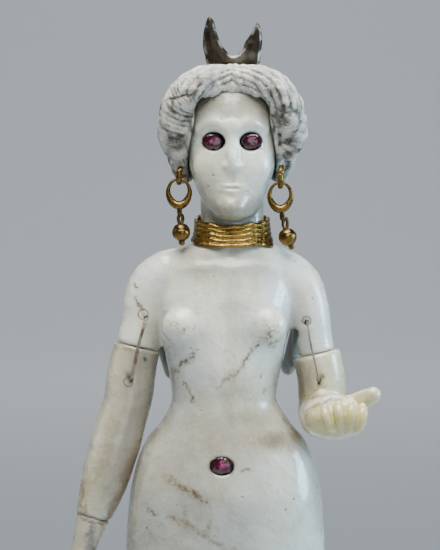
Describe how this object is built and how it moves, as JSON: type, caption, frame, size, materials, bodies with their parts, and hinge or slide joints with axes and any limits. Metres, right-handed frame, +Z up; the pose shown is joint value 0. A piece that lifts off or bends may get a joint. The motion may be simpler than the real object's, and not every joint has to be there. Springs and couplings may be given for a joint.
{
  "type": "statuette",
  "caption": "Standing female figure carved in pale stone, with tied-on forearms, plaster wig, metal crescent and jewellery, held upright by a metal display stand.",
  "frame": {"origin": "centre of the underside of the stand's foot plate", "axes": "+Z up, +X to the right of someone who faces the figure, and the figure faces -Y"},
  "size_m": [0.084, 0.0853, 0.26],
  "materials": {
    "alabaster": "polished, slightly translucent, with fine cracks",
    "ivory_alabaster": "polished, yellowed",
    "plaster": "matt and worn, with dark grime in the grooves",
    "bronze": "dark, corroded",
    "gold": "burnished sheet gold, dulled in the folds",
    "garnet": "dark red, polished",
    "wire": "dull",
    "grey_paint": "satin",
    "sleeve": "matt"
  },
  "bodies": {
    "root": {"figure": "alabaster", "right_arm": "ivory_alabaster", "left_arm": "ivory_alabaster", "wig": "plaster", "crescent": "bronze", "necklace": "gold", "stand_plate": "grey_paint", "stand_fork": "grey_paint", "eye_right": "garnet", "eye_left": "garnet", "navel_stone": "garnet", "ear_wire_right": "gold", "hoop_right": "gold", "link_right": "gold", "bead_right": "gold", "tie_right": "wire", "sleeve_right": "sleeve", "ear_wire_left": "gold", "hoop_left": "gold", "link_left": "gold", "bead_left": "gold", "tie_left": "wire", "sleeve_left": "sleeve"}
  },
  "joints": []
}
